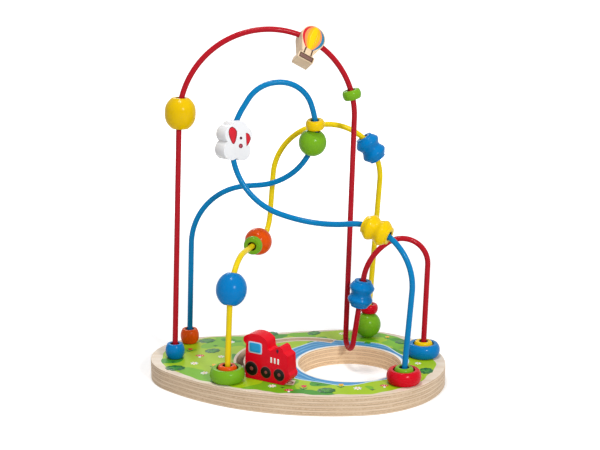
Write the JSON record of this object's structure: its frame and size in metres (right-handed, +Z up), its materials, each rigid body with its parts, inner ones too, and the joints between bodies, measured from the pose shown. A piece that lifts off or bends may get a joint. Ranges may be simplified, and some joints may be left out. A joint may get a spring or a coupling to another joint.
{
  "type": "bead maze",
  "caption": "Wooden bead maze: bent coated wires on a plywood base carry lacquered beads to push along, and a flat train runs in a curved slot.",
  "frame": {"origin": "middle of the base's outline, on the underside it stands on", "axes": "+Z up, +X to the right along the base, +Y away from the front"},
  "size_m": [0.3, 0.201, 0.3551],
  "materials": {
    "plywood": "printed and clear lacquered birch plywood",
    "natural_wood": "clear lacquered maple with a printed face",
    "red_coat": "glossy plastic coat",
    "blue_coat": "glossy plastic coat",
    "yellow_coat": "glossy plastic coat",
    "red_lacquer": "glossy lacquer",
    "blue_lacquer": "glossy lacquer",
    "yellow_lacquer": "glossy lacquer",
    "green_lacquer": "glossy lacquer",
    "orange_lacquer": "glossy lacquer",
    "white_lacquer": "glossy lacquer with a printed face",
    "steel": "zinc plated"
  },
  "bodies": {
    "frame": {"base_plate": "plywood", "red_wire": "red_coat", "blue_wire": "blue_coat", "yellow_wire": "yellow_coat"},
    "blue_stop_bead": {"blue_stop_bead": "blue_lacquer"},
    "yellow_barrel_bead": {"yellow_barrel_bead": "yellow_lacquer"},
    "balloon_bead": {"balloon_bead": "natural_wood"},
    "green_arch_ring": {"green_arch_ring": "green_lacquer"},
    "blue_low_ridged_bead": {"blue_low_ridged_bead": "blue_lacquer"},
    "blue_cup_bead": {"blue_cup_bead": "blue_lacquer"},
    "yellow_cup_ring": {"yellow_cup_ring": "yellow_lacquer"},
    "orange_stop_bead": {"orange_stop_bead": "orange_lacquer"},
    "green_loop_ball": {"green_loop_ball": "green_lacquer"},
    "yellow_loop_ring": {"yellow_loop_ring": "yellow_lacquer"},
    "puppy_bead": {"puppy_bead": "white_lacquer"},
    "yellow_ridged_bead": {"yellow_ridged_bead": "yellow_lacquer"},
    "red_cup_bead": {"red_cup_bead": "red_lacquer"},
    "green_cup_ring": {"green_cup_ring": "green_lacquer"},
    "green_cup_bead": {"green_cup_bead": "green_lacquer"},
    "orange_cup_ring": {"orange_cup_ring": "orange_lacquer"},
    "blue_oval_bead": {"blue_oval_bead": "blue_lacquer"},
    "green_run_ring": {"green_run_ring": "green_lacquer"},
    "orange_run_ball": {"orange_run_ball": "orange_lacquer"},
    "blue_high_ridged_bead": {"blue_high_ridged_bead": "blue_lacquer"},
    "green_foot_ball": {"green_foot_ball": "green_lacquer"},
    "red_foot_ring": {"red_foot_ring": "red_lacquer"},
    "train": {"train_body": "red_lacquer", "guide_sleeves": "steel", "train_keeper": "plywood", "guide_screws": "steel"}
  },
  "joints": [
    {"name": "blue_stop_bead_slide", "type": "slide", "parent": "frame", "child": "blue_stop_bead", "axis": [0.0384, 0.0069, 0.9992], "range_m": [0, 0.22]},
    {"name": "yellow_barrel_bead_slide", "type": "slide", "parent": "frame", "child": "yellow_barrel_bead", "axis": [0.0384, 0.0069, 0.9992], "range_m": [-0.22, 0]},
    {"name": "balloon_bead_travel", "type": "hinge", "parent": "frame", "child": "balloon_bead", "pos_m": [-0.02923, 0.0271, 0.26402], "axis": [-0.1778, 0.9841, 0], "range_deg": [-92, 31]},
    {"name": "green_arch_ring_travel", "type": "hinge", "parent": "frame", "child": "green_arch_ring", "pos_m": [-0.02923, 0.0271, 0.26402], "axis": [-0.1778, 0.9841, 0], "range_deg": [-31, 12]},
    {"name": "blue_low_ridged_bead_slide", "type": "slide", "parent": "frame", "child": "blue_low_ridged_bead", "axis": [0.1407, -0.0099, 0.99], "range_m": [-0.036, 0]},
    {"name": "blue_cup_bead_slide", "type": "slide", "parent": "frame", "child": "blue_cup_bead", "axis": [0.0298, 0.0133, 0.9995], "range_m": [0, 0.04]},
    {"name": "yellow_cup_ring_slide", "type": "slide", "parent": "blue_cup_bead", "child": "yellow_cup_ring", "axis": [0.0298, 0.0133, 0.9995], "range_m": [0, 0.038]},
    {"name": "orange_stop_bead_slide", "type": "slide", "parent": "frame", "child": "orange_stop_bead", "axis": [0.0362, 0, 0.9993], "range_m": [0, 0.091]},
    {"name": "green_loop_ball_travel", "type": "hinge", "parent": "frame", "child": "green_loop_ball", "pos_m": [-0.04732, 0.03488, 0.25729], "axis": [-0.1514, -0.9727, -0.1761], "range_deg": [-56, 0]},
    {"name": "yellow_loop_ring_travel", "type": "hinge", "parent": "green_loop_ball", "child": "yellow_loop_ring", "pos_m": [-0.04732, 0.03488, 0.25729], "axis": [-0.1514, -0.9727, -0.1761], "range_deg": [0, 8]},
    {"name": "puppy_bead_travel", "type": "hinge", "parent": "frame", "child": "puppy_bead", "pos_m": [0.00665, -0.00237, 0.24138], "axis": [-0.0366, -0.9887, 0.1452], "range_deg": [-10, 60]},
    {"name": "yellow_ridged_bead_travel", "type": "hinge", "parent": "frame", "child": "yellow_ridged_bead", "pos_m": [0.05894, -0.03679, 0.11477], "axis": [0.4344, 0.8994, -0.0481], "range_deg": [-13, 58]},
    {"name": "red_cup_bead_slide", "type": "slide", "parent": "frame", "child": "red_cup_bead", "axis": [0.0758, 0.0167, 0.997], "range_m": [0, 0.035]},
    {"name": "green_cup_ring_slide", "type": "slide", "parent": "red_cup_bead", "child": "green_cup_ring", "axis": [0.0758, 0.0167, 0.997], "range_m": [0, 0.038]},
    {"name": "green_cup_bead_slide", "type": "slide", "parent": "frame", "child": "green_cup_bead", "axis": [0.0441, 0.0279, 0.9986], "range_m": [0, 0.028]},
    {"name": "orange_cup_ring_slide", "type": "slide", "parent": "green_cup_bead", "child": "orange_cup_ring", "axis": [0.0441, 0.0279, 0.9986], "range_m": [0, 0.028]},
    {"name": "blue_oval_bead_travel", "type": "hinge", "parent": "frame", "child": "blue_oval_bead", "pos_m": [-0.05418, -0.01502, 0.0958], "axis": [-0.9661, 0.2556, 0.0355], "range_deg": [0, 46]},
    {"name": "orange_run_ball_slide", "type": "slide", "parent": "frame", "child": "orange_run_ball", "axis": [0.2549, 0.9667, -0.0231], "range_m": [-0.013, 0.003]},
    {"name": "green_run_ring_slide", "type": "slide", "parent": "orange_run_ball", "child": "green_run_ring", "axis": [0.2549, 0.9667, -0.0231], "range_m": [-0.012, 0]},
    {"name": "blue_high_ridged_bead_travel", "type": "hinge", "parent": "frame", "child": "blue_high_ridged_bead", "pos_m": [0.03043, 0.07416, 0.1947], "axis": [-0.0543, 0.9985, 0], "range_deg": [-126, 22]},
    {"name": "green_foot_ball_slide", "type": "slide", "parent": "frame", "child": "green_foot_ball", "axis": [0.0682, 0.0037, 0.9977], "range_m": [0, 0.08]},
    {"name": "red_foot_ring_slide", "type": "slide", "parent": "green_foot_ball", "child": "red_foot_ring", "axis": [0.0682, 0.0037, 0.9977], "range_m": [0, 0.048]},
    {"name": "train_run", "type": "hinge", "parent": "frame", "child": "train", "pos_m": [0.0075, 0.00201, 0.02], "axis": [0, 0, 1], "range_deg": [-161, 6]}
  ]
}
